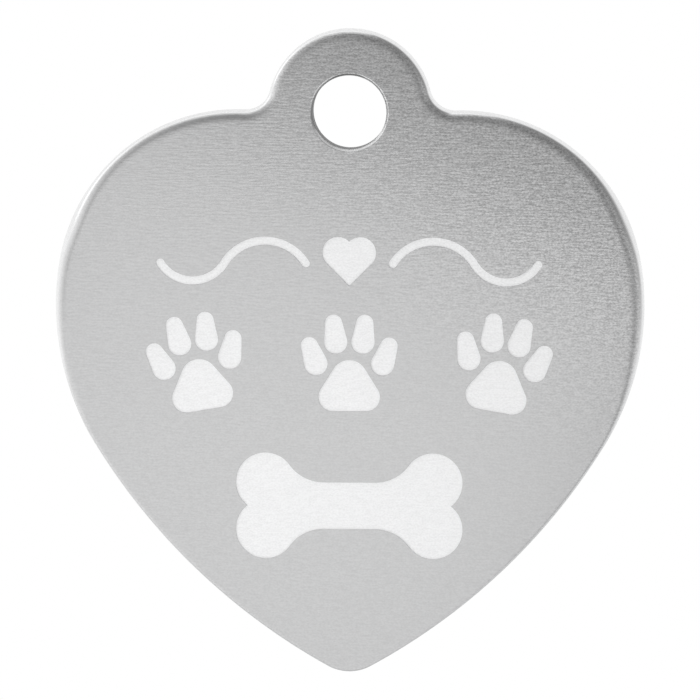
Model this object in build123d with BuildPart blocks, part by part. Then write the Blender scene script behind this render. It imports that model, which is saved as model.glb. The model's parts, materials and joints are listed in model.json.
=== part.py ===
from build123d import *

import os
from math import cos, radians, sin, sqrt

# A heart-shaped pet identity tag: a flat metal plate with a hanging lug at its top, and white marks
# that lie in shallow pockets of its front face.
# The origin is the centre of the ring hole, at half the plate's thickness. +Z points up, towards
# the lug's top, and the front face looks along -Y. Outlines are drawn in x and y as seen from the
# front, with y up. Lengths are in millimetres and angles in degrees.

# Plate outline, a chain of tangent arcs that runs from the tip up the right side to the lug
heart_width = 31.75
widest_drop = 10.5
side_radius = 14.3
shoulder_angle = 10.0
lobe_radius = 9.75
flank_radius = 34.0
tip_radius = 2.4
tip_drop = 30.3
lug_radius = 4.45
neck_radius = 1.4

# Plate section
plate_thickness = 1.5
hole_diameter = 4.0
front_edge_radius = 0.65
back_edge_break = 0.2
hole_edge_break = 0.14

# Marks, as layers that stop short of the front face
mark_thickness = 0.06
mark_recess = 0.04

# Level of each row of marks, from the hole centre to the tip
flourish_level_share = 0.27
paw_level_share = 0.455
bone_level_share = 0.703

# Flourish: two waves that run outwards from a small heart
flourish_reach = 10.2
flourish_stroke = 0.45
flourish_angle = 58.0
flourish_gap = 0.9
hump_shares = (0.56, 0.44)
small_heart_width = 2.9

# Paw prints in a row
paw_width = 5.2
paw_gap = 3.0
paw_row_margin = 4.0
paw_tilt = 10.0

# A paw print's places and sizes, in paw widths from the middle of the print
heel_place_shares = (0.17, -0.31)
heel_radius_share = 0.15
crown_place_shares = (0.0, -0.115)
crown_radius_share = 0.19
inner_toe_place_shares = (0.15, 0.345)
outer_toe_place_shares = (0.375, 0.115)
toe_length_share = 0.41
toe_root_radius_share = 0.122
toe_end_radius_share = 0.09
inner_toe_lean = 6.0
outer_toe_lean = 20.0

# Bone
knob_radius = 1.6
knob_span = 9.04
shaft_width = 2.54
throat_radius = 2.25


def meeting_point(first, first_reach, second, second_reach, side):
    """The point at a given reach from each of two centres, on one side of the line between them."""
    span = second - first
    along = (first_reach**2 - second_reach**2 + span.length**2) / (2 * span.length)
    across = sqrt(first_reach**2 - along**2)
    direction = span.normalized()
    return first + direction * along + Vector(-direction.Y, direction.X) * across * side


def on_circle(centre, radius, towards):
    """The point of a circle that lies in a given direction from its centre."""
    return centre + towards.normalized() * radius


# Arc centres of the plate's right half
shoulder = Vector(cos(radians(shoulder_angle)), sin(radians(shoulder_angle)))
side_centre = Vector(heart_width / 2 - side_radius, -widest_drop)
lobe_centre = side_centre + shoulder * (side_radius - lobe_radius)
tip_centre = Vector(0, tip_radius - tip_drop)
lug_centre = Vector(0, 0)
flank_centre = meeting_point(
    side_centre, flank_radius - side_radius, tip_centre, flank_radius - tip_radius, -1
)
neck_centre = meeting_point(
    lobe_centre, lobe_radius + neck_radius, lug_centre, lug_radius + neck_radius, -1
)

# Outline of the plate with its lug
with BuildSketch() as plate_outline:
    with BuildLine():
        tip = TangentArc(
            Vector(0, -tip_drop),
            on_circle(tip_centre, tip_radius, tip_centre - flank_centre),
            tangent=(1, 0),
        )
        flank = TangentArc(
            tip @ 1,
            on_circle(side_centre, side_radius, side_centre - flank_centre),
            tangent=tip % 1,
        )
        side = TangentArc(flank @ 1, on_circle(side_centre, side_radius, shoulder), tangent=flank % 1)
        lobe = TangentArc(
            side @ 1,
            on_circle(lobe_centre, lobe_radius, neck_centre - lobe_centre),
            tangent=side % 1,
        )
        neck = TangentArc(
            lobe @ 1,
            on_circle(lug_centre, lug_radius, neck_centre - lug_centre),
            tangent=lobe % 1,
        )
        TangentArc(neck @ 1, Vector(0, lug_radius), tangent=neck % 1)
        mirror(about=Plane.YZ)
    make_face()

# Small heart: a square on its corner with a round lobe on each upper side
heart_side = small_heart_width / (1 + sqrt(2) / 2)
heart_lobe_offset = heart_side / (2 * sqrt(2))
flourish_y = -flourish_level_share * tip_drop
with BuildSketch() as heart_outline:
    with Locations((0, flourish_y)):
        Rectangle(heart_side, heart_side, rotation=45)
        with Locations((-heart_lobe_offset, heart_lobe_offset), (heart_lobe_offset, heart_lobe_offset)):
            Circle(heart_side / 2)

# Flourish: each hump leaves and meets the row's level at the same angle, so the humps run on smoothly
flourish_start = small_heart_width / 2 + flourish_gap
flourish_length = flourish_reach - flourish_start
with BuildSketch() as flourish_outline:
    with BuildLine() as wave:
        hump_start = flourish_start
        bend = 1
        for share in hump_shares:
            hump_length = share * flourish_length
            RadiusArc(
                (hump_start, flourish_y),
                (hump_start + hump_length, flourish_y),
                bend * hump_length / (2 * sin(radians(flourish_angle))),
            )
            hump_start += hump_length
            bend = -bend
    trace(wave.line, line_width=flourish_stroke)
    with Locations((flourish_start, flourish_y), (flourish_reach, flourish_y)):
        Circle(flourish_stroke / 2)
    mirror(about=Plane.YZ)

# One paw print: a three-cornered pad and four toes that narrow to their ends
with BuildSketch() as pad_outline:
    for across in (-1, 1):
        with Locations((across * heel_place_shares[0] * paw_width, heel_place_shares[1] * paw_width)):
            Circle(heel_radius_share * paw_width)
    with Locations((crown_place_shares[0] * paw_width, crown_place_shares[1] * paw_width)):
        Circle(crown_radius_share * paw_width)
    make_hull()

with BuildSketch() as toe_outline:
    with Locations((0, (toe_root_radius_share - toe_length_share / 2) * paw_width)):
        Circle(toe_root_radius_share * paw_width)
    with Locations((0, (toe_length_share / 2 - toe_end_radius_share) * paw_width)):
        Circle(toe_end_radius_share * paw_width)
    make_hull()

with BuildSketch() as paw_outline:
    add(pad_outline.sketch)
    for across in (-1, 1):
        for place, lean in (
            (inner_toe_place_shares, inner_toe_lean),
            (outer_toe_place_shares, outer_toe_lean),
        ):
            toe_place = (across * place[0] * paw_width, place[1] * paw_width, 0)
            with Locations(Location(toe_place, (0, 0, -across * lean))):
                add(toe_outline.sketch)

# Row of as many paw prints as the heart has room for, fanned out from the middle one
paw_pitch = paw_width + paw_gap
paw_count = int((heart_width - 2 * paw_row_margin + paw_gap) // paw_pitch)
paw_y = -paw_level_share * tip_drop
with BuildSketch() as paw_row_outline:
    for index in range(paw_count):
        steps = index - (paw_count - 1) / 2
        with Locations(Location((steps * paw_pitch, paw_y, 0), (0, 0, -steps * paw_tilt))):
            add(paw_outline.sketch)

# Bone: a shaft with two knobs at each end, whose throats run smoothly into the shaft
bone_y = -bone_level_share * tip_drop
with BuildSketch() as bone_outline:
    with Locations((0, bone_y)):
        Rectangle(knob_span, shaft_width)
        with GridLocations(knob_span, shaft_width, 2, 2):
            Circle(knob_radius)
    throats = bone_outline.vertices().sort_by(lambda corner: abs(corner.X))[:4]
    fillet(throats, throat_radius)

front_plane = Plane.XZ.offset(plate_thickness / 2)
pocket_depth = mark_recess + mark_thickness
pocket_floor = front_plane.offset(-pocket_depth)

# Plate: the blank, its hole, its rolled and broken edges, then the pockets
with BuildPart() as tag_plate:
    with BuildSketch(front_plane):
        add(plate_outline.sketch)
        Circle(hole_diameter / 2, mode=Mode.SUBTRACT)
    extrude(amount=-plate_thickness)
    front_face = tag_plate.faces().sort_by(Axis.Y)[0]
    back_face = tag_plate.faces().sort_by(Axis.Y)[-1]
    hole_edges = front_face.inner_wires()[0].edges() + back_face.inner_wires()[0].edges()
    back_edges = back_face.outer_wire().edges()
    fillet(front_face.outer_wire().edges(), front_edge_radius)
    chamfer(back_edges, back_edge_break)
    chamfer(hole_edges, hole_edge_break)
    with BuildSketch(front_plane):
        add(heart_outline.sketch)
        add(flourish_outline.sketch)
        add(paw_row_outline.sketch)
        add(bone_outline.sketch)
    extrude(amount=-pocket_depth, mode=Mode.SUBTRACT)

with BuildPart() as heart_mark:
    with BuildSketch(pocket_floor):
        add(heart_outline.sketch)
    extrude(amount=mark_thickness)

with BuildPart() as flourish_marks:
    with BuildSketch(pocket_floor):
        add(flourish_outline.sketch)
    extrude(amount=mark_thickness)

with BuildPart() as paw_marks:
    with BuildSketch(pocket_floor):
        add(paw_row_outline.sketch)
    extrude(amount=mark_thickness)

with BuildPart() as bone_mark:
    with BuildSketch(pocket_floor):
        add(bone_outline.sketch)
    extrude(amount=mark_thickness)

tag_plate.part.label = "tag_plate"
heart_mark.part.label = "heart_mark"
flourish_marks.part.label = "flourish_marks"
paw_marks.part.label = "paw_marks"
bone_mark.part.label = "bone_mark"

os.makedirs("parts", exist_ok=True)
export_step(tag_plate.part, "parts/tag_plate.step")
export_step(heart_mark.part, "parts/heart_mark.step")
export_step(flourish_marks.part, "parts/flourish_marks.step")
export_step(paw_marks.part, "parts/paw_marks.step")
export_step(bone_mark.part, "parts/bone_mark.step")
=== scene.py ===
import json
from math import acos, atan2, copysign, cos, pi, radians, sin, sqrt

import bpy
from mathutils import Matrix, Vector
from mathutils.geometry import delaunay_2d_cdt


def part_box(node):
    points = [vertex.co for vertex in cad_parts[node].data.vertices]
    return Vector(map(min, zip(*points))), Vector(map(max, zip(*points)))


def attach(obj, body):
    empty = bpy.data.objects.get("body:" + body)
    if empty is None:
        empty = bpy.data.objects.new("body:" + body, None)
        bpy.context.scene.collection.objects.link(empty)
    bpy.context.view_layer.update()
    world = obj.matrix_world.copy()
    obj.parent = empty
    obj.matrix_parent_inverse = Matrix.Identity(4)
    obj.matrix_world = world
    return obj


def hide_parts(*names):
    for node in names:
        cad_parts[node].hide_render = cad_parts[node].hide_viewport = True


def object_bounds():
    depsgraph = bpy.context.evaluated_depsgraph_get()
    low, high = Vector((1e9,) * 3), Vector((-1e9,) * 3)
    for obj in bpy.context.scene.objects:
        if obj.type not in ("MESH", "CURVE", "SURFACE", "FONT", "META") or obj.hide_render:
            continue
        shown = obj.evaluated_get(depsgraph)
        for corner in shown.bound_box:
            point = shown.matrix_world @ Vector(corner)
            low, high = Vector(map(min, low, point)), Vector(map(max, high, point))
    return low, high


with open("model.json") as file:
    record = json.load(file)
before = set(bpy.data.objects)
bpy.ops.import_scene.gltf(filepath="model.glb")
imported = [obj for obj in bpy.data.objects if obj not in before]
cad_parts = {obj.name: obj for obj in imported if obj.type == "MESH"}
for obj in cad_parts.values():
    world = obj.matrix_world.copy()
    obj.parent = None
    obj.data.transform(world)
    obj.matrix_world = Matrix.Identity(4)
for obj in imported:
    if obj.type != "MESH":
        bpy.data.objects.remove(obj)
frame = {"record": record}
cad_low, cad_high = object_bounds()
middle = (cad_low + cad_high) / 2

# The tag hangs with its lug up along +Z, and its front face looks along -Y.
# Outlines are drawn in x and z as seen from the front, counterclockwise, in metres.

MM = 0.001

# What the solids give
plate_low, plate_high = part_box("tag_plate")
bone_low, bone_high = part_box("bone_mark")
heart_low, heart_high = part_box("heart_mark")
flourish_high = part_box("flourish_marks")[1]
ring_hole = next(mount for mount in frame["record"]["mounts"] if mount["name"] == "ring_hole")
FRONT = plate_low.y
BACK = plate_high.y
HALF_WIDTH = plate_high.x
TIP_DROP = -plate_low.z
LUG_RADIUS = plate_high.z
HOLE_RADIUS = ring_hole["dims"]["r_mm"] * MM
MARK_FRONT = bone_low.y
POCKET_FLOOR = bone_high.y
SMALL_LOBE = heart_high.x / (1 + sqrt(2) / 2)
FLOURISH_LEVEL = heart_low.z + SMALL_LOBE * sqrt(2)

# Plate outline, a chain of tangent arcs from the tip up the right side to the lug
WIDEST_DROP = 10.5 * MM
SIDE_RADIUS = 14.3 * MM
SHOULDER_ANGLE = radians(10)
LOBE_RADIUS = 9.75 * MM
FLANK_RADIUS = 34 * MM
TIP_RADIUS = 2.4 * MM
NECK_RADIUS = 1.4 * MM

# Plate section. A row of a table of rolls has how far up the edge faces, the roll's width there and the
# power by which its bend tightens
TOP_ROLL_WIDTH = 0.834 * MM
UPPER_ROLL_WIDTH = 0.78 * MM
SIDE_ROLL_WIDTH = 1.02 * MM
LOW_ROLL_WIDTH = 0.25 * MM
ROLL_POWER = 3.1
UPPER_ROLL_POWER = 1.1
HEART_ROLLS = (
    (-0.6, LOW_ROLL_WIDTH, ROLL_POWER),
    (0.0, SIDE_ROLL_WIDTH, ROLL_POWER),
    (0.37, UPPER_ROLL_WIDTH, UPPER_ROLL_POWER),
    (0.92, TOP_ROLL_WIDTH, ROLL_POWER),
)
LUG_ROLLS = (
    (0.0, SIDE_ROLL_WIDTH, ROLL_POWER),
    (0.75, TOP_ROLL_WIDTH, ROLL_POWER),
)
BACK_ROUND = 0.24 * MM
HOLE_BREAK = 0.14 * MM
BREAK_POWER = 3
ROLL_STEPS = 20
ROUND_STEPS = 12

# Slopes of the edges between which their finishes and painted light set in, and how much further round the
# bore's painted shade starts on the hole's lower, left and right sides
RIM_START = radians(17.9)
RIM_FULL = radians(50.7)
LIP_HIGHLIGHT_START = radians(20)
LIP_HIGHLIGHT_FULL = radians(40)
BORE_SHADE_START = radians(10)
BORE_SHADE_TURN = radians(25)
LOWER_DELAY = radians(45)
LEFT_DELAY = radians(22)
RIGHT_DELAY = radians(45)

# A side of the hole begins and is full where its wall faces this far across
HOLE_SIDE_START = 0.2
HOLE_SIDE_FULL = 0.6

# Spacing of points along the outlines
PLATE_SPACING = 0.13 * MM
MARK_SPACING = 0.05 * MM
REPEAT_GAP = MARK_SPACING / 100
LEAST_PLATE_STEPS = 6
LEAST_MARK_STEPS = 4

# Filling of flat faces
FRONT_FACING = -0.9
FILL_INSIDE = 1
FILL_NEARNESS = 1e-6

# Marks
KNOB_RADIUS = 1.6 * MM
THROAT_RADIUS = 2.25 * MM
FLOURISH_STROKE = 0.45 * MM
FLOURISH_GAP = 0.9 * MM
FLOURISH_ANGLE = radians(58)
HUMP_SHARES = (0.56, 0.44)
PAW_WIDTH = 5.2 * MM
PAW_PITCH = 8.2 * MM
PAW_COUNT = 3
PAW_FAN = radians(10)
PAW_LEVEL = -0.455 * TIP_DROP

# A paw print's places and sizes, in paw widths from the middle of the print
HEEL_PLACE = (0.17, -0.31)
HEEL_RADIUS = 0.15
CROWN_PLACE = (0.0, -0.115)
CROWN_RADIUS = 0.19
INNER_TOE = (0.15, 0.345, radians(6))
OUTER_TOE = (0.375, 0.115, radians(20))
TOE_LENGTH = 0.41
TOE_ROOT = 0.122
TOE_END = 0.09

# Brushed metal
RED_SHARE = 0.998
BLUE_SHARE = 1.004
FACE_TONE = 0.52
FACE_SPREAD = 0.235
FACE_ROUGHNESS = 0.335
FACE_GLOSS_SPREAD = 0.03
# The rim's tone is lighter than the face's: a burnished edge with a painted highlight in its colour
RIM_BURNISH_AND_HIGHLIGHT_TONE = 0.681
RIM_SPREAD = 0.02
RIM_ROUGHNESS = 0.2
RIM_GLOSS_SPREAD = 0.02
# The bore's dark, less metallic tone is painted shade inside the hole
BORE_SHADE_TONE = 0.16
BORE_SPREAD = 0.03
BORE_ROUGHNESS = 0.55
BORE_METALLIC = 0.2
# The lower lip's bright, less metallic tone is a painted highlight on the hole's lower edge
LIP_HIGHLIGHT_TONE = 0.8
LIP_METALLIC = 0.3
SPECK_LENGTH = 0.115 * MM
SPECK_WIDTH = 0.07 * MM
SPECK_DETAIL = 1.5
NOISE_ROUGHNESS = 0.5
NOISE_LOW = 0.267
NOISE_HIGH = 0.707
GRAIN_MIDDLE = 0.5
SCRATCH_TIMES_LONGER = 5
SCRATCH_TIMES_WIDER = 1.5
SCRATCH_SHARE = 0.25
SCRATCH_DEPTH = 0.002 * MM
PUNCH_LINE_LENGTH = 1.2 * MM
PUNCH_LINE_WIDTH = 0.12 * MM
PUNCH_LINE_SHARE = 0.3

# Painted shading of the grain: its colour varies more towards the upper right of the front, where the face
# lies in darker light, and only a little all over the back
GRAIN_SHADING_SIDE = (0.6, -8, 0.8)
GRAIN_SHADING_LEAST = 0.143
GRAIN_SHADING_START = 7 * MM
GRAIN_SHADING_FULL = 26 * MM

# Whitened marks
MARK_TONE = 0.918
MARK_SPREAD = 0.06
MARK_ROUGHNESS = 0.55
MARK_GLOSS_SPREAD = 0.06
MARK_GRAIN_SHARE = 0.6
MARK_SPECULAR = 0.3

# Studio light, as radiance
ROOM_LIGHT = 1.344
ROOM_DARK = 0.33
ROOM_DARK_SIDE = (0.377, 0, 0.926)
ROOM_DARK_START = -0.114
ROOM_DARK_FULL = 0.595
CAMERA_DIM_SHARE = 0.709
CAMERA_DIM_FULL = -0.993
CAMERA_DIM_START = -0.75
BACKDROP_DIM = 1.142
BACKDROP_BRIGHT = 1.259
BACKDROP_LIGHT_SIDE = (-1, 0, 0)
BACKDROP_START = -0.405
BACKDROP_FULL = 0.383
BACKDROP_MIDDLE = 1.0
BACKDROP_MIDDLE_START = 0.797
KEY_PLACE = Vector((-7.37, -32.11, -9.79)) * MM
KEY_SIZE = (42.8 * MM, 37.8 * MM)
KEY_TURNS = (pi / 2, radians(20.3), 0)
KEY_RADIANCE = 0.708
TOP_PLACE = Vector((-143, -33.7, 100)) * MM
TOP_SIZE = (326 * MM, 87.4 * MM)
TOP_TURNS = (0, 0, 0)
TOP_RADIANCE = 0.666

# Picture
PICTURE_WIDTH = 37.75 * MM
LENS = 1000
SENSOR = 36
CLIP_START = 10 * MM
CAMERA_AZIMUTH = radians(3.5)
CAMERA_ELEVATION = radians(6)

# Floor
FLOOR_DROP = 150 * MM
FLOOR_SIZE = 600 * MM
FLOOR_TONE = 0.9
FLOOR_ROUGHNESS = 0.8
FLOOR_LIFT_NEAR = 0.05
FLOOR_LIFT_FAR = 0.45


def unit(angle):
    """The direction at an angle, as a point on the unit circle."""
    return Vector((cos(angle), sin(angle)))


def angle_of(direction):
    """The angle of a direction."""
    return atan2(direction.y, direction.x)


def meeting_point(first, first_reach, second, second_reach, side):
    """The point at a given reach from each of two centres, on one side of the line between them."""
    span = second - first
    along = (first_reach**2 - second_reach**2 + span.length_squared) / (2 * span.length)
    across = sqrt(first_reach**2 - along**2)
    direction = span.normalized()
    return first + direction * along + Vector((-direction.y, direction.x)) * across * side


def spread(start, end, steps):
    """Evenly spaced values from start to end, both included."""
    return [start + (end - start) * step / steps for step in range(steps + 1)]


def smooth_step(value, low, high):
    """0 below low, 1 above high and a smooth rise between them."""
    share = min(1, max(0, (value - low) / (high - low)))
    return share * share * (3 - 2 * share)


def arc_points(centre, radius, start, end):
    """Points along an arc, close enough together to look round."""
    steps = max(LEAST_MARK_STEPS, round(abs(end - start) * radius / MARK_SPACING))
    return [centre + radius * unit(angle) for angle in spread(start, end, steps)]


def without_repeats(points):
    """A closed outline with no point twice in a row."""
    gaps = [(point - points[index - 1]).length for index, point in enumerate(points)]
    return [point for point, gap in zip(points, gaps) if gap > REPEAT_GAP]


def mirrored(points):
    """The left half of an outline, from its right half."""
    return [Vector((-point.x, point.y)) for point in reversed(points)]


# Plate outline

def plate_arcs():
    """Arcs of the plate's right half, from the tip to the lug's top.

    Each has a centre, a radius, a start and an end angle, 1 for a convex arc or -1 for a hollow one,
    and the table of its rolls.
    """
    shoulder = unit(SHOULDER_ANGLE)
    side = Vector((HALF_WIDTH - SIDE_RADIUS, -WIDEST_DROP))
    lobe = side + shoulder * (SIDE_RADIUS - LOBE_RADIUS)
    tip = Vector((0, TIP_RADIUS - TIP_DROP))
    lug = Vector((0, 0))
    flank = meeting_point(side, FLANK_RADIUS - SIDE_RADIUS, tip, FLANK_RADIUS - TIP_RADIUS, -1)
    neck = meeting_point(lobe, LOBE_RADIUS + NECK_RADIUS, lug, LUG_RADIUS + NECK_RADIUS, -1)
    return [
        (tip, TIP_RADIUS, -pi / 2, angle_of(tip - flank), 1, HEART_ROLLS),
        (flank, FLANK_RADIUS, angle_of(tip - flank), angle_of(side - flank), 1, HEART_ROLLS),
        (side, SIDE_RADIUS, angle_of(side - flank), SHOULDER_ANGLE, 1, HEART_ROLLS),
        (lobe, LOBE_RADIUS, SHOULDER_ANGLE, angle_of(neck - lobe), 1, HEART_ROLLS),
        (neck, NECK_RADIUS, angle_of(lobe - neck), angle_of(lug - neck), -1, LUG_ROLLS),
        (lug, LUG_RADIUS, angle_of(neck - lug), pi / 2, 1, LUG_ROLLS),
    ]


def roll_shape(facing_up, table):
    """The width and the power of the roll on an edge that faces so far up, from a table of rolls."""
    width, power = table[0][1:]
    for (low, *_), (high, next_width, next_power) in zip(table, table[1:]):
        share = smooth_step(facing_up, low, high)
        width += (next_width - width) * share
        power += (next_power - power) * share
    return width, power


def plate_edge():
    """The plate's outline, with the outward direction and the roll's shape at each point."""
    points, outward, rolls = [], [], []
    for centre, radius, start, end, bulge, table in plate_arcs():
        steps = max(LEAST_PLATE_STEPS, round(abs(end - start) * radius / PLATE_SPACING))
        for angle in spread(start, end, steps)[:-1]:
            points.append(centre + radius * unit(angle))
            outward.append(bulge * unit(angle))
            rolls.append(roll_shape(outward[-1].y, table))
    top = Vector((0, 1))
    points += [LUG_RADIUS * top] + mirrored(points[1:])
    outward += [top] + mirrored(outward[1:])
    rolls += [roll_shape(top.y, LUG_ROLLS)] + rolls[:0:-1]
    return points, outward, rolls


def hole_edge():
    """The ring hole's outline, with the direction to its axis at each point."""
    steps = round(2 * pi * HOLE_RADIUS / PLATE_SPACING)
    around = [unit(angle) for angle in spread(0, 2 * pi, steps)[:-1]]
    return [HOLE_RADIUS * way for way in around], [-way for way in around]


# Mark outlines

def bone_outline():
    """A shaft with two knobs at each end, whose throats run smoothly into the shaft."""
    level = (bone_low.z + bone_high.z) / 2
    knob = Vector((bone_high.x - KNOB_RADIUS, (bone_high.z - bone_low.z) / 2 - KNOB_RADIUS))
    throat_reach = sqrt(KNOB_RADIUS**2 + 2 * KNOB_RADIUS * THROAT_RADIUS)
    throat = Vector((knob.x - throat_reach, knob.y + THROAT_RADIUS))
    notch = Vector((sqrt(KNOB_RADIUS**2 - knob.y**2), -knob.y))
    quarter = arc_points(knob, KNOB_RADIUS, angle_of(notch), angle_of(throat - knob))
    quarter += arc_points(throat, THROAT_RADIUS, angle_of(knob - throat), -pi / 2)
    upper = quarter + mirrored(quarter)
    lower = [Vector((-point.x, -point.y)) for point in upper]
    return without_repeats([Vector((point.x, point.y + level)) for point in upper + lower])


def heart_outline():
    """A square on its corner with a round lobe on each upper side."""
    reach = SMALL_LOBE * sqrt(2)
    centre = Vector((0, FLOURISH_LEVEL))
    right = [centre + Vector((0, -reach))]
    right += arc_points(centre + Vector((reach, reach)) / 2, SMALL_LOBE, -pi / 4, 3 * pi / 4)
    return without_repeats(right + mirrored(right))


def flourish_outline(side):
    """A wave that runs outwards from the small heart, on the right (1) or the left (-1)."""
    half_stroke = FLOURISH_STROKE / 2
    start = heart_high.x + FLOURISH_GAP
    length = flourish_high.x - half_stroke - start
    lower, upper = [], []
    bend = 1
    for share in HUMP_SHARES:
        hump = share * length
        radius = hump / (2 * sin(FLOURISH_ANGLE))
        centre = Vector((start + hump / 2, FLOURISH_LEVEL - bend * radius * cos(FLOURISH_ANGLE)))
        first = bend * (pi / 2 + FLOURISH_ANGLE)
        last = bend * (pi / 2 - FLOURISH_ANGLE)
        upper += arc_points(centre, radius + bend * half_stroke, first, last)
        lower += arc_points(centre, radius - bend * half_stroke, first, last)
        start += hump
        bend = -bend
    turn = angle_of(upper[0] - lower[0])
    near = arc_points((upper[0] + lower[0]) / 2, half_stroke, turn, turn + pi)
    turn = angle_of(lower[-1] - upper[-1])
    far = arc_points((upper[-1] + lower[-1]) / 2, half_stroke, turn, turn + pi)
    right = without_repeats(near + lower + far + upper[::-1])
    return right if side > 0 else mirrored(right)


def hull_outline(circles):
    """The hull of circles that are listed counterclockwise, as arcs joined by straight tangents."""
    leaving = []
    for index, (centre, radius) in enumerate(circles):
        next_centre, next_radius = circles[(index + 1) % len(circles)]
        span = next_centre - centre
        leaving.append(angle_of(span) - acos((radius - next_radius) / span.length))
    points = []
    for index, (centre, radius) in enumerate(circles):
        start = leaving[index - 1]
        turn = (leaving[index] - start) % (2 * pi)
        points += arc_points(centre, radius, start, start + turn)
    return without_repeats(points)


def pad_outline():
    """A three-cornered pad: two heels and a crown."""
    heel = Vector(HEEL_PLACE) * PAW_WIDTH
    crown = Vector(CROWN_PLACE) * PAW_WIDTH
    heel_radius = HEEL_RADIUS * PAW_WIDTH
    return hull_outline([
        (heel, heel_radius),
        (crown, CROWN_RADIUS * PAW_WIDTH),
        (Vector((-heel.x, heel.y)), heel_radius),
    ])


def toe_outline(place_x, place_z, lean):
    """A toe that narrows to its end and leans outwards."""
    centre = Vector((place_x, place_z)) * PAW_WIDTH
    along = Vector((sin(lean), cos(lean))) * PAW_WIDTH
    return hull_outline([
        (centre + along * (TOE_ROOT - TOE_LENGTH / 2), TOE_ROOT * PAW_WIDTH),
        (centre + along * (TOE_LENGTH / 2 - TOE_END), TOE_END * PAW_WIDTH),
    ])


def paw_outlines():
    """One paw print about its own middle: a pad and four toes."""
    toes = []
    for across in (-1, 1):
        for place_x, place_z, lean in (INNER_TOE, OUTER_TOE):
            toes.append(toe_outline(across * place_x, place_z, across * lean))
    return [pad_outline()] + toes


# Meshes

def at_depth(points, y):
    """An outline's points at a given depth."""
    return [(point.x, y, point.y) for point in points]


def linked(name, mesh):
    """A new object at the origin that holds the mesh."""
    piece = bpy.data.objects.new(name, mesh)
    bpy.context.scene.collection.objects.link(piece)
    return piece


def mark_mesh(name, outlines):
    """Thin closed layers, one for each outline, from the pocket floor to the marks' front."""
    verts, faces = [], []
    for outline in outlines:
        count = len(outline)
        front = range(len(verts), len(verts) + count)
        back = range(len(verts) + count, len(verts) + 2 * count)
        verts += at_depth(outline, MARK_FRONT) + at_depth(outline, POCKET_FLOOR)
        faces.append(list(front))
        faces.append(list(reversed(back)))
        faces += [(front[i - 1], back[i - 1], back[i], front[i]) for i in range(count)]
    mesh = bpy.data.meshes.new(name)
    mesh.from_pydata(verts, [], faces)
    mesh.validate()
    return mesh


def front_outlines(mesh):
    """The outlines of a finished mark's front caps."""
    outlines = []
    for face in mesh.polygons:
        if face.normal.y < FRONT_FACING:
            corners = [mesh.vertices[i].co for i in face.vertices]
            outlines.append([Vector((corner.x, corner.z)) for corner in corners])
    return outlines


class Shell:
    """Rings of points with their shares of the edges' finishes and painted light, and faces with a normal
    at each corner.
    """

    def __init__(self):
        self.verts, self.faces, self.normals = [], [], []
        self.shares = {"rim_burnish_and_highlight": [], "lip_highlight": [], "bore_shade": []}

    def ring(self, points, depths, **shares):
        """Adds an outline at its points' depths, with their shares, and returns its point numbers."""
        first = len(self.verts)
        self.verts += [(point.x, y, point.y) for point, y in zip(points, depths)]
        for name, values in self.shares.items():
            values += shares.get(name, [0] * len(points))
        return list(range(first, len(self.verts)))

    def face(self, corners, normals):
        """Adds one face."""
        self.faces.append(corners)
        self.normals += normals

    def band(self, near, far, near_normals, far_normals, hollow):
        """Joins two rings, the far one further back, round the outside or the inside of a hollow."""
        for i in range(len(near)):
            corners = [near[i - 1], far[i - 1], far[i], near[i]]
            normals = [near_normals[i - 1], far_normals[i - 1], far_normals[i], near_normals[i]]
            if hollow:
                corners.reverse()
                normals.reverse()
            self.face(corners, normals)

    def mesh(self, name):
        """The closed mesh, smooth by its corner normals, with the shares as attributes."""
        mesh = bpy.data.meshes.new(name)
        mesh.from_pydata(self.verts, [], self.faces)
        mesh.polygons.foreach_set("use_smooth", [True] * len(mesh.polygons))
        mesh.normals_split_custom_set(self.normals)
        for share, values in self.shares.items():
            mesh.attributes.new(share, "FLOAT", "POINT").data.foreach_set("value", values)
        return mesh


def swept_front(width, tilts):
    """Inset, depth and tilt along a front edge of a given width that bends through the tilts in turn."""
    across, down = [0], [0]
    for before, after in zip(tilts, tilts[1:]):
        across.append(across[-1] + cos((before + after) / 2))
        down.append(down[-1] + sin((before + after) / 2))
    step = width / across[-1]
    return [(width - step * a, FRONT + step * d, tilt) for a, d, tilt in zip(across, down, tilts)]


def turned_to_back(rows):
    """A front edge's rows as the rows of the back edge, from the wall to the back face."""
    return [(inset, FRONT + BACK - y, pi - tilt) for inset, y, tilt in reversed(rows)]


def rolled_edge(width, power):
    """The plate's front edge, whose bend tightens from the face to the wall."""
    return swept_front(width, [pi / 2 * share**power for share in spread(0, 1, ROLL_STEPS)])


def round_edge():
    """The plate's back edge seen from the back, an even round."""
    return swept_front(BACK_ROUND, spread(0, pi / 2, ROUND_STEPS))


def broken_edge():
    """The hole's edge, broken at 45 degrees with soft corners."""
    turns = [copysign(abs(way)**BREAK_POWER, way) for way in spread(-1, 1, ROUND_STEPS)]
    return swept_front(HOLE_BREAK, [pi / 4 * (1 + turn) for turn in turns])


def outer_shares(slopes, rolls):
    """The share of the burnished rim and its painted highlight at each point of the outer edge. A narrow
    roll, as on the lower edges, gets less of both.
    """
    rims = []
    for slope, (width, _) in zip(slopes, rolls):
        # A narrower roll, lower down, takes less of the painted highlight
        rims.append(smooth_step(slope, RIM_START, RIM_FULL) * min(1, width / TOP_ROLL_WIDTH))
    return {"rim_burnish_and_highlight": rims}


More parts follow.
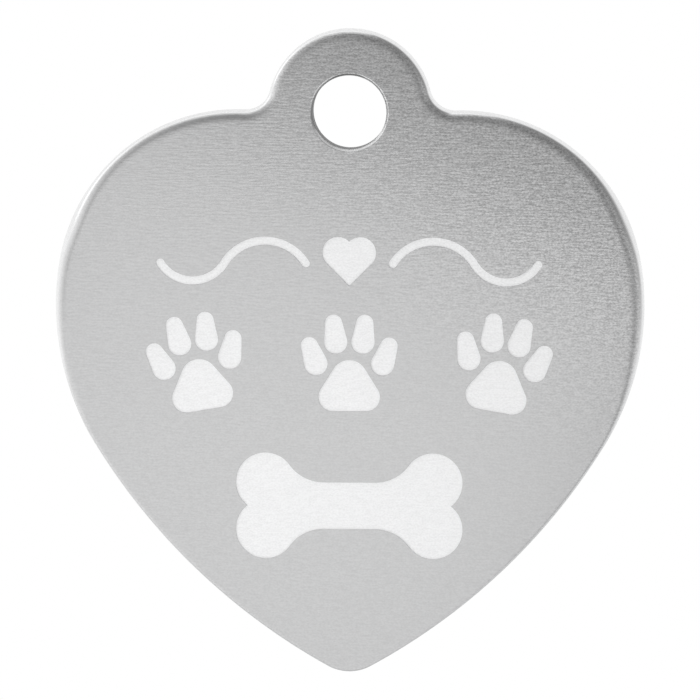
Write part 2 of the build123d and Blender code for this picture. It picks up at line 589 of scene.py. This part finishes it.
def hole_shares(slopes, outward):
    """The share of the bore's painted shade and of its lower lip's painted highlight at each point of the
    hole's edge.

    Low down and on both sides, the painted shade starts further in, so it reaches furthest out at the top.
    """
    lip_highlights, bore_shades = [], []
    for slope, out in zip(slopes, outward):
        lower = smooth_step(out.y, HOLE_SIDE_START, HOLE_SIDE_FULL)
        left = smooth_step(out.x, HOLE_SIDE_START, HOLE_SIDE_FULL)
        right = smooth_step(-out.x, HOLE_SIDE_START, HOLE_SIDE_FULL)
        # The bore's painted shade starts later low down and on both sides, so the top of the hole is
        # shaded most
        start = BORE_SHADE_START + max(LOWER_DELAY * lower, LEFT_DELAY * left, RIGHT_DELAY * right)
        # Painted highlight on the hole's lower lip
        lip_highlights.append(lower * smooth_step(slope, LIP_HIGHLIGHT_START, LIP_HIGHLIGHT_FULL))
        bore_shades.append(smooth_step(slope, start, start + BORE_SHADE_TURN))
    return {"lip_highlight": lip_highlights, "bore_shade": bore_shades}


def edge_bands(shell, outline, outward, sections, finish, hollow):
    """Adds an edge with a section at each of its points, and returns its front and back ring."""
    rings = []
    for rows in zip(*sections):
        points = [point - inset * out for point, out, (inset, y, tilt) in zip(outline, outward, rows)]
        shares = finish([min(tilt, pi - tilt) for inset, y, tilt in rows])
        ring = shell.ring(points, [y for inset, y, tilt in rows], **shares)
        normals = []
        for out, (inset, y, tilt) in zip(outward, rows):
            normals.append(Vector((sin(tilt) * out.x, -cos(tilt), sin(tilt) * out.y)))
        rings.append((ring, normals))
    for (near, near_normals), (far, far_normals) in zip(rings, rings[1:]):
        shell.band(near, far, near_normals, far_normals, hollow)
    return rings[0][0], rings[-1][0]


def outer_bands(shell):
    """Adds the plate's outer edge and returns its front and back ring."""
    outline, outward, rolls = plate_edge()
    back = turned_to_back(round_edge())
    sections = [rolled_edge(width, power) + back for width, power in rolls]

    def finish(slopes):
        """The shares of the outer edge's finish and painted highlight along one ring, by the slopes there.
        """
        return outer_shares(slopes, rolls)

    return edge_bands(shell, outline, outward, sections, finish, False)


def hole_bands(shell):
    """Adds the ring hole's edge and returns its front and back ring."""
    outline, outward = hole_edge()
    section = broken_edge() + turned_to_back(broken_edge())
    sections = [section] * len(outline)

    def finish(slopes):
        """The shares of the hole's finish, its painted shade and its painted highlight along one ring, by
        the slopes there.
        """
        return hole_shares(slopes, outward)

    return edge_bands(shell, outline, outward, sections, finish, True)


def fill(shell, rings, facing):
    """Fills the flat region inside the first ring and outside the others with triangles.

    They face the front if facing is -1 and the back if it is 1.
    """
    numbers = [number for ring in rings for number in ring]
    points = [Vector((shell.verts[n][0], shell.verts[n][2])) / MM for n in numbers]
    loops, first = [], 0
    for ring in rings:
        loops.append(list(range(first, first + len(ring))))
        first += len(ring)
    made = delaunay_2d_cdt(points, [], loops, FILL_INSIDE, FILL_NEARNESS, True)
    places, triangles, origins, owners = made[0], made[2], made[3], made[5]
    normal = Vector((0, facing, 0))
    for corners, inside in zip(triangles, owners):
        if set(inside) != {0}:
            continue
        a, b, c = (places[i] for i in corners)
        turns_left = (b - a).cross(c - a) > 0
        found = [numbers[origins[i][0]] for i in corners]
        if turns_left != (facing < 0):
            found.reverse()
        shell.face(found, [normal] * 3)


def flat_normals(outline):
    """The direction into a hollow at each point of its wall."""
    count = len(outline)
    normals = []
    for i in range(count):
        along = outline[(i + 1) % count] - outline[i - 1]
        normals.append(Vector((-along.y, 0, along.x)).normalized())
    return normals


def plate_mesh(marks):
    """The plate with its rolled edge, ring hole and the pockets of its marks."""
    shell = Shell()
    outer_front, outer_back = outer_bands(shell)
    hole_front, hole_back = hole_bands(shell)
    rims, floors = [], []
    for outline in marks:
        rims.append(shell.ring(outline, [FRONT] * len(outline)))
        floors.append(shell.ring(outline, [POCKET_FLOOR] * len(outline)))
        normals = flat_normals(outline)
        shell.band(rims[-1], floors[-1], normals, normals, True)
    fill(shell, [outer_front, hole_front] + rims, -1)
    fill(shell, [outer_back, hole_back], 1)
    for floor in floors:
        fill(shell, [floor], -1)
    return shell.mesh("tag_plate_finish")


# Node helpers

def node(tree, kind, inputs=None, **settings):
    """A new node with its settings made and its inputs set or linked."""
    made = tree.nodes.new(kind)
    for name, value in settings.items():
        setattr(made, name, value)
    for key, value in (inputs or {}).items():
        if isinstance(value, bpy.types.NodeSocket):
            tree.links.new(value, made.inputs[key])
        else:
            made.inputs[key].default_value = value
    return made


def maths(tree, operation, first, second):
    """The result of an operation on two values."""
    return node(tree, "ShaderNodeMath", {0: first, 1: second}, operation=operation).outputs[0]


def ranged(tree, value, low, high, to_low, to_high):
    """A value moved from one range to another, smoothly at both ends."""
    inputs = {0: value, 1: low, 2: high, 3: to_low, 4: to_high}
    return node(tree, "ShaderNodeMapRange", inputs, interpolation_type="SMOOTHSTEP").outputs[0]


def mixed_value(tree, share, first, second):
    """A value between two values."""
    return node(tree, "ShaderNodeMix", {0: share, 2: first, 3: second}, data_type="FLOAT").outputs[0]


def mixed_colour(tree, share, first, second):
    """A colour between two colours."""
    return node(tree, "ShaderNodeMix", {0: share, 6: first, 7: second}, data_type="RGBA").outputs[2]


def reach_along(tree, vector, direction):
    """How far a vector reaches along a direction."""
    inputs = {0: vector, 1: direction}
    return node(tree, "ShaderNodeVectorMath", inputs, operation="DOT_PRODUCT").outputs["Value"]


def stretched(tree, vector, scale):
    """A vector times a scale for each axis."""
    return node(tree, "ShaderNodeVectorMath", {0: vector, 1: scale}, operation="MULTIPLY").outputs[0]


def grey(level):
    """A neutral colour with the faint cool cast of bare aluminium."""
    return (level * RED_SHARE, level, level * BLUE_SHARE, 1)


def toned(tree, share, tone, tone_spread):
    """A grey that rises with the share, from a spread below its tone to a spread above it."""
    return mixed_colour(tree, share, grey(tone - tone_spread), grey(tone + tone_spread))


def glossed(tree, share, roughness, gloss_spread):
    """A roughness that falls as the share rises, by a spread to each side."""
    return ranged(tree, share, 0, 1, roughness + gloss_spread, roughness - gloss_spread)


def mirror_rays(tree, rays):
    """1 for a ray that a glossy or a clear surface passes on, else 0."""
    return maths(tree, "MAXIMUM", rays["Is Glossy Ray"], rays["Is Transmission Ray"])


# Repeats

def paw_row_tree():
    """Sets paw prints in a row at a pitch, each turned a little further than the one before it."""
    tree = bpy.data.node_groups.new("paw_row", "GeometryNodeTree")
    face = tree.interface
    face.new_socket("Paw", in_out="INPUT", socket_type="NodeSocketGeometry")
    face.new_socket("Count", in_out="INPUT", socket_type="NodeSocketInt")
    for name in ("Pitch", "Fan", "Level"):
        face.new_socket(name, in_out="INPUT", socket_type="NodeSocketFloat")
    face.new_socket("Finish", in_out="INPUT", socket_type="NodeSocketMaterial")
    face.new_socket("Row", in_out="OUTPUT", socket_type="NodeSocketGeometry")
    given = tree.nodes.new("NodeGroupInput").outputs
    result = tree.nodes.new("NodeGroupOutput").inputs

    half_row = maths(tree, "DIVIDE", maths(tree, "SUBTRACT", given["Count"], 1), 2)
    steps = maths(tree, "SUBTRACT", node(tree, "GeometryNodeInputIndex").outputs[0], half_row)
    across = maths(tree, "MULTIPLY", steps, given["Pitch"])
    lean = maths(tree, "MULTIPLY", steps, given["Fan"])
    place = node(tree, "ShaderNodeCombineXYZ", {"X": across, "Z": given["Level"]}).outputs[0]
    turn = node(tree, "ShaderNodeCombineXYZ", {"Y": lean}).outputs[0]
    line = node(tree, "GeometryNodeMeshLine", {"Count": given["Count"]}).outputs[0]
    spots = node(tree, "GeometryNodeSetPosition", {"Geometry": line, "Position": place}).outputs[0]
    prints = {"Points": spots, "Instance": given["Paw"], "Rotation": turn}
    copies = node(tree, "GeometryNodeInstanceOnPoints", prints).outputs[0]
    whole = node(tree, "GeometryNodeRealizeInstances", {"Geometry": copies}).outputs[0]
    dressing = {"Geometry": whole, "Material": given["Finish"]}
    finished = node(tree, "GeometryNodeSetMaterial", dressing).outputs[0]
    tree.links.new(finished, result["Row"])
    return tree


def paw_row(finish):
    """The finished row of paw prints as a plain mesh."""
    piece = linked("paw_row", mark_mesh("paw_print", paw_outlines()))
    modifier = piece.modifiers.new("row", "NODES")
    modifier.node_group = paw_row_tree()
    sizes = {"Count": PAW_COUNT, "Pitch": PAW_PITCH, "Fan": PAW_FAN, "Level": PAW_LEVEL, "Finish": finish}
    for item in modifier.node_group.interface.items_tree:
        if item.in_out == "INPUT" and item.name in sizes:
            modifier[item.identifier] = sizes[item.name]
    shown = piece.evaluated_get(bpy.context.evaluated_depsgraph_get())
    made = bpy.data.meshes.new_from_object(shown)
    piece.modifiers.clear()
    piece.data = made
    return piece


# Finishes

def brushed_grain_group():
    """Grain along the first axis of Place: fine specks, and scratches that are longer and wider."""
    tree = bpy.data.node_groups.new("brushed_grain", "ShaderNodeTree")
    face = tree.interface
    face.new_socket("Place", in_out="INPUT", socket_type="NodeSocketVector")
    face.new_socket("Speck Length", in_out="INPUT", socket_type="NodeSocketFloat")
    face.new_socket("Speck Width", in_out="INPUT", socket_type="NodeSocketFloat")
    face.new_socket("Specks", in_out="OUTPUT", socket_type="NodeSocketFloat")
    face.new_socket("Scratches", in_out="OUTPUT", socket_type="NodeSocketFloat")
    given = tree.nodes.new("NodeGroupInput").outputs
    result = tree.nodes.new("NodeGroupOutput").inputs

    def layer(times_longer, times_wider, detail):
        """One layer of noise, with grains so many times longer and wider than the specks."""
        lengthwise = maths(tree, "DIVIDE", 1 / times_longer, given["Speck Length"])
        across = maths(tree, "DIVIDE", 1 / times_wider, given["Speck Width"])
        scale = node(tree, "ShaderNodeCombineXYZ", {"X": lengthwise, "Y": across, "Z": across}).outputs[0]
        place = stretched(tree, given["Place"], scale)
        noise = {"Vector": place, "Scale": 1.0, "Detail": detail, "Roughness": NOISE_ROUGHNESS}
        made = node(tree, "ShaderNodeTexNoise", noise).outputs["Fac"]
        return ranged(tree, made, NOISE_LOW, NOISE_HIGH, 0.0, 1.0)

    scratches = layer(SCRATCH_TIMES_LONGER, SCRATCH_TIMES_WIDER, 0.0)
    specks = mixed_value(tree, SCRATCH_SHARE, layer(1, 1, SPECK_DETAIL), scratches)
    tree.links.new(specks, result["Specks"])
    tree.links.new(scratches, result["Scratches"])
    return tree


def new_material(name):
    """A new node material, its node tree and its Principled shader."""
    material = bpy.data.materials.new(name)
    material.use_nodes = True
    tree = material.node_tree
    return material, tree, tree.nodes["Principled BSDF"]


def grain_on(tree, grain, place, length, width):
    """The outputs of the brushed grain at a place, with specks of a given length and width."""
    made = node(tree, "ShaderNodeGroup", node_tree=grain)
    tree.links.new(place, made.inputs["Place"])
    made.inputs["Speck Length"].default_value = length
    made.inputs["Speck Width"].default_value = width
    return made.outputs


def grain_shading_strength(tree, place):
    """How strongly the grain's colour varies, by the place on the face: painted shading of the grain."""
    side = reach_along(tree, place, GRAIN_SHADING_SIDE)
    start = Vector(GRAIN_SHADING_SIDE).dot(middle)
    return ranged(tree, side, start + GRAIN_SHADING_START, start + GRAIN_SHADING_FULL, GRAIN_SHADING_LEAST, 1.0)


def brushed_aluminium(grain):
    """Aluminium brushed along X, whose burnished rolled edge shows the punch's lines. The rolled edge also
    has a painted highlight, the hole's lower lip a painted highlight and the bore painted shade.
    """
    material, tree, shader = new_material("brushed_aluminium")
    place = node(tree, "ShaderNodeTexCoord").outputs["Object"]
    rim_burnish_and_highlight = node(tree, "ShaderNodeAttribute", attribute_name="rim_burnish_and_highlight").outputs["Fac"]
    lip_highlight = node(tree, "ShaderNodeAttribute", attribute_name="lip_highlight").outputs["Fac"]
    bore_shade = node(tree, "ShaderNodeAttribute", attribute_name="bore_shade").outputs["Fac"]
    face_grain = grain_on(tree, grain, place, SPECK_LENGTH, SPECK_WIDTH)
    # Painted shading of the grain: its contrast grows towards the upper right of the front
    face_specks = mixed_value(tree, grain_shading_strength(tree, place), GRAIN_MIDDLE, face_grain["Specks"])
    parts = node(tree, "ShaderNodeSeparateXYZ", {0: place}).outputs
    through_plate = {"X": parts["Y"], "Y": parts["X"], "Z": parts["Z"]}
    turned = node(tree, "ShaderNodeCombineXYZ", through_plate).outputs[0]
    punch_lines = grain_on(tree, grain, turned, PUNCH_LINE_LENGTH, PUNCH_LINE_WIDTH)["Specks"]

    face_colour = toned(tree, face_specks, FACE_TONE, FACE_SPREAD)
    # Painted highlight on the rolled edge, with the punch's lines
    rim_burnish_and_highlight_colour = toned(tree, punch_lines, RIM_BURNISH_AND_HIGHLIGHT_TONE, RIM_SPREAD)
    # Painted shade inside the hole
    bore_shade_colour = toned(tree, punch_lines, BORE_SHADE_TONE, BORE_SPREAD)
    # Painted highlight on the hole's lower lip, bright whatever it faces
    lip_highlight_colour = toned(tree, punch_lines, LIP_HIGHLIGHT_TONE, BORE_SPREAD)
    outside_colour = mixed_colour(tree, lip_highlight, mixed_colour(tree, rim_burnish_and_highlight, face_colour, rim_burnish_and_highlight_colour), lip_highlight_colour)
    tree.links.new(mixed_colour(tree, bore_shade, outside_colour, bore_shade_colour), shader.inputs["Base Color"])

    face_gloss = glossed(tree, face_specks, FACE_ROUGHNESS, FACE_GLOSS_SPREAD)
    rim_gloss = glossed(tree, punch_lines, RIM_ROUGHNESS, RIM_GLOSS_SPREAD)
    outside_gloss = mixed_value(tree, rim_burnish_and_highlight, face_gloss, rim_gloss)
    tree.links.new(mixed_value(tree, bore_shade, outside_gloss, BORE_ROUGHNESS), shader.inputs["Roughness"])
    outside_metallic = mixed_value(tree, lip_highlight, 1.0, LIP_METALLIC)
    tree.links.new(mixed_value(tree, bore_shade, outside_metallic, BORE_METALLIC), shader.inputs["Metallic"])

    edge_height = maths(tree, "MULTIPLY", punch_lines, PUNCH_LINE_SHARE)
    height = mixed_value(tree, rim_burnish_and_highlight, face_grain["Scratches"], edge_height)
    bump = {"Height": height, "Distance": SCRATCH_DEPTH, "Strength": 1.0}
    tree.links.new(node(tree, "ShaderNodeBump", bump).outputs[0], shader.inputs["Normal"])
    return material


def whitened_mark(grain):
    """A matt white layer through which the brushed grain still shows a little."""
    material, tree, shader = new_material("whitened_mark")
    place = node(tree, "ShaderNodeTexCoord").outputs["Object"]
    layers = grain_on(tree, grain, place, SPECK_LENGTH, SPECK_WIDTH)
    colour = toned(tree, layers["Specks"], MARK_TONE, MARK_SPREAD)
    tree.links.new(colour, shader.inputs["Base Color"])
    gloss = glossed(tree, layers["Specks"], MARK_ROUGHNESS, MARK_GLOSS_SPREAD)
    tree.links.new(gloss, shader.inputs["Roughness"])
    shader.inputs["Specular IOR Level"].default_value = MARK_SPECULAR
    bump = {"Height": layers["Scratches"], "Distance": SCRATCH_DEPTH * MARK_GRAIN_SHARE, "Strength": 1.0}
    tree.links.new(node(tree, "ShaderNodeBump", bump).outputs[0], shader.inputs["Normal"])
    return material


# Pieces

grain = brushed_grain_group()
metal = brushed_aluminium(grain)
white = whitened_mark(grain)


def mark_piece(name, outlines):
    """A whitened layer as a finished piece."""
    piece = linked(name, mark_mesh(name, outlines))
    piece.data.materials.append(white)
    return piece


bone = mark_piece("bone_layer", [bone_outline()])
heart = mark_piece("heart_layer", [heart_outline()])
flourish = mark_piece("flourish_layer", [flourish_outline(-1), flourish_outline(1)])
paws = paw_row(white)
marks = {"bone_mark": bone, "heart_mark": heart, "flourish_marks": flourish, "paw_marks": paws}

pockets = [outline for piece in marks.values() for outline in front_outlines(piece.data)]
plate = linked("brushed_plate", plate_mesh(pockets))
plate.data.materials.append(metal)

for node_name, piece in marks.items():
    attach(piece, "root")
    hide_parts(node_name)
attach(plate, "root")
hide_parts("tag_plate")


# Studio

def studio_floor():
    """A pale floor well below the hanging tag."""
    half = FLOOR_SIZE / 2
    level = plate_low.z - FLOOR_DROP
    corners = [(-half, -half, level), (half, -half, level), (half, half, level), (-half, half, level)]
    mesh = bpy.data.meshes.new("floor")
    mesh.from_pydata(corners, [], [(0, 1, 2, 3)])
    floor = linked("floor", mesh)
    material, tree, shader = new_material("pale_floor")
    shader.inputs["Base Color"].default_value = grey(FLOOR_TONE)
    shader.inputs["Roughness"].default_value = FLOOR_ROUGHNESS
    rays = node(tree, "ShaderNodeLightPath").outputs
    seen = maths(tree, "MAXIMUM", rays["Is Camera Ray"], mirror_rays(tree, rays))
    place = node(tree, "ShaderNodeTexCoord").outputs["Object"]
    flat = stretched(tree, place, (1, 1, 0))
    distance = node(tree, "ShaderNodeVectorMath", {0: flat}, operation="LENGTH").outputs["Value"]
    brighter_outwards = ranged(tree, distance, 0.0, half, FLOOR_LIFT_NEAR, FLOOR_LIFT_FAR)
    lift = maths(tree, "MULTIPLY", seen, brighter_outwards)
    glow = node(tree, "ShaderNodeEmission", {"Color": (1, 1, 1, 1), "Strength": lift}).outputs[0]
    surface = node(tree, "ShaderNodeAddShader", {0: shader.outputs[0], 1: glow}).outputs[0]
    tree.links.new(surface, tree.nodes["Material Output"].inputs["Surface"])
    material.cycles.emission_sampling = "NONE"
    mesh.materials.append(material)


def graded(tree, direction, towards, low, high, to_low, to_high):
    """A light level that changes evenly along a direction."""
    inputs = {0: reach_along(tree, direction, towards), 1: low, 2: high, 3: to_low, 4: to_high}
    return node(tree, "ShaderNodeMapRange", inputs).outputs[0]


def studio_world():
    """A light backdrop behind the tag and a softly graded room in front. The camera sees plain white."""
    world = bpy.data.worlds.new("studio")
    bpy.context.scene.world = world
    world.use_nodes = True
    tree = world.node_tree
    direction = node(tree, "ShaderNodeTexCoord").outputs["Generated"]
    side_light = graded(
        tree, direction, ROOM_DARK_SIDE, ROOM_DARK_START, ROOM_DARK_FULL, ROOM_LIGHT, ROOM_DARK
    )
    backdrop = graded(tree, direction, BACKDROP_LIGHT_SIDE, -1.0, 1.0, BACKDROP_DIM, BACKDROP_BRIGHT)
    parts = node(tree, "ShaderNodeSeparateXYZ", {0: direction}).outputs
    straight = ranged(tree, parts["Y"], BACKDROP_MIDDLE_START, 1.0, 0.0, 1.0)
    backdrop = mixed_value(tree, straight, backdrop, BACKDROP_MIDDLE)
    behind = ranged(tree, parts["Y"], BACKDROP_START, BACKDROP_FULL, 0.0, 1.0)
    round_camera = ranged(tree, parts["Y"], CAMERA_DIM_FULL, CAMERA_DIM_START, 1 - CAMERA_DIM_SHARE, 1.0)
    room = maths(tree, "MULTIPLY", side_light, round_camera)
    lit = mixed_value(tree, behind, room, backdrop)
    rays = node(tree, "ShaderNodeLightPath").outputs
    mirrored_white = maths(tree, "MULTIPLY", mirror_rays(tree, rays), straight)
    shows_white = maths(tree, "MAXIMUM", rays["Is Camera Ray"], mirrored_white)
    level = mixed_value(tree, shows_white, lit, 1.0)
    background = tree.nodes["Background"]
    background.inputs["Color"].default_value = (1, 1, 1, 1)
    tree.links.new(level, background.inputs["Strength"])


def panel_lamp(name, place, size, turns, radiance):
    """A panel of even light that the camera doesn't see. Unturned, it faces down."""
    width, height = size
    data = bpy.data.lights.new(name, "AREA")
    data.shape = "RECTANGLE"
    data.size = width
    data.size_y = height
    data.energy = pi * radiance * width * height
    lamp = bpy.data.objects.new(name, data)
    lamp.location = place
    lamp.rotation_euler = turns
    lamp.visible_camera = False
    bpy.context.scene.collection.objects.link(lamp)


def studio_camera():
    """A long lens in front of the tag, a little to its right and above it."""
    data = bpy.data.cameras.new("camera")
    data.lens = LENS
    data.sensor_width = SENSOR
    data.clip_start = CLIP_START
    camera = bpy.data.objects.new("camera", data)
    distance = PICTURE_WIDTH * LENS / SENSOR
    flat = distance * cos(CAMERA_ELEVATION)
    away = Vector((
        flat * sin(CAMERA_AZIMUTH),
        -flat * cos(CAMERA_AZIMUTH),
        distance * sin(CAMERA_ELEVATION),
    ))
    camera.location = middle + away
    camera.rotation_euler = (-away).to_track_quat("-Z", "Y").to_euler()
    bpy.context.scene.collection.objects.link(camera)
    bpy.context.scene.camera = camera


studio_floor()
studio_world()
panel_lamp("key_panel", middle + KEY_PLACE, KEY_SIZE, KEY_TURNS, KEY_RADIANCE)
panel_lamp("top_panel", middle + TOP_PLACE, TOP_SIZE, TOP_TURNS, TOP_RADIANCE)
studio_camera()
bpy.context.scene.view_settings.view_transform = "Standard"
